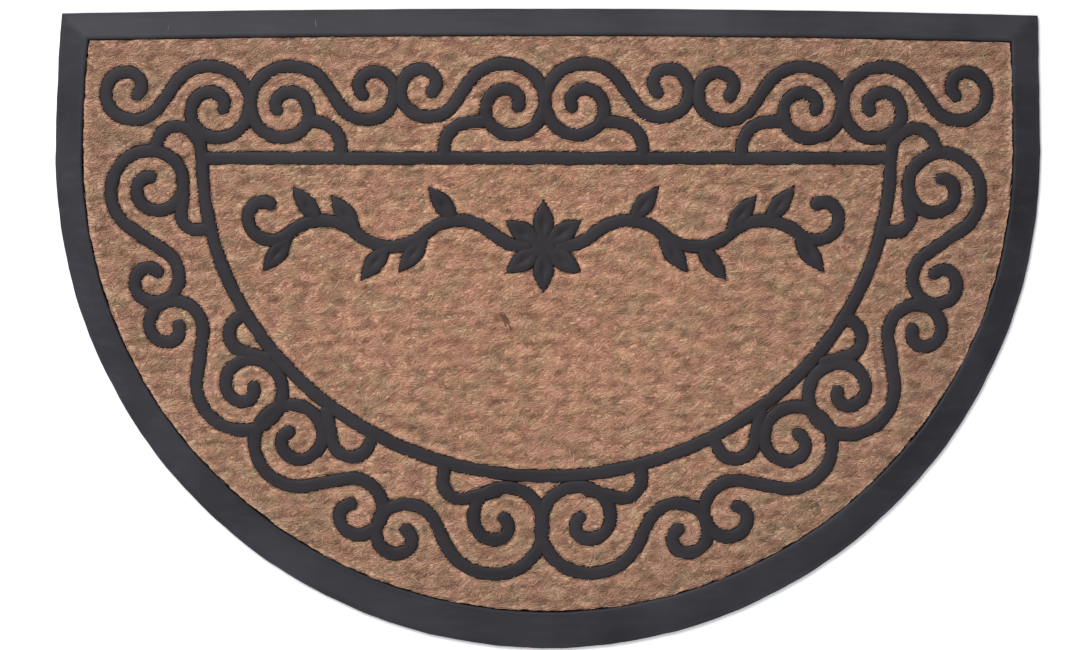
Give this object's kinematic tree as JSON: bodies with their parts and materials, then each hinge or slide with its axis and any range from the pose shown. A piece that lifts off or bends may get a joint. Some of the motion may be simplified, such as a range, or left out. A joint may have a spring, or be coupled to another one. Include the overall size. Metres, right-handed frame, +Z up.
{
  "type": "rubber and coir doormat",
  "caption": "Half-round doormat: woven coir in a black rubber tray with a bevelled border, raised rubber scrollwork round a half-round panel, and a leafy sprig in it.",
  "frame": {"origin": "on the floor, at the middle of the mat's width and depth", "axes": "+X along the straight back edge, +Y from the round front edge to the back edge, +Z up out of the mat's top"},
  "size_m": [0.7, 0.455, 0.0094],
  "materials": {
    "rubber_border": "moulded, dull, worn a little lighter",
    "coir": "coarse woven coconut fibre, matt and hairy",
    "rubber_ribs": "moulded, dull, with rounded tops"
  },
  "bodies": {
    "root": {"rubber_base": "rubber_border", "coir_field": "coir", "scroll_network": "rubber_ribs", "centre_sprig": "rubber_ribs"}
  },
  "joints": []
}
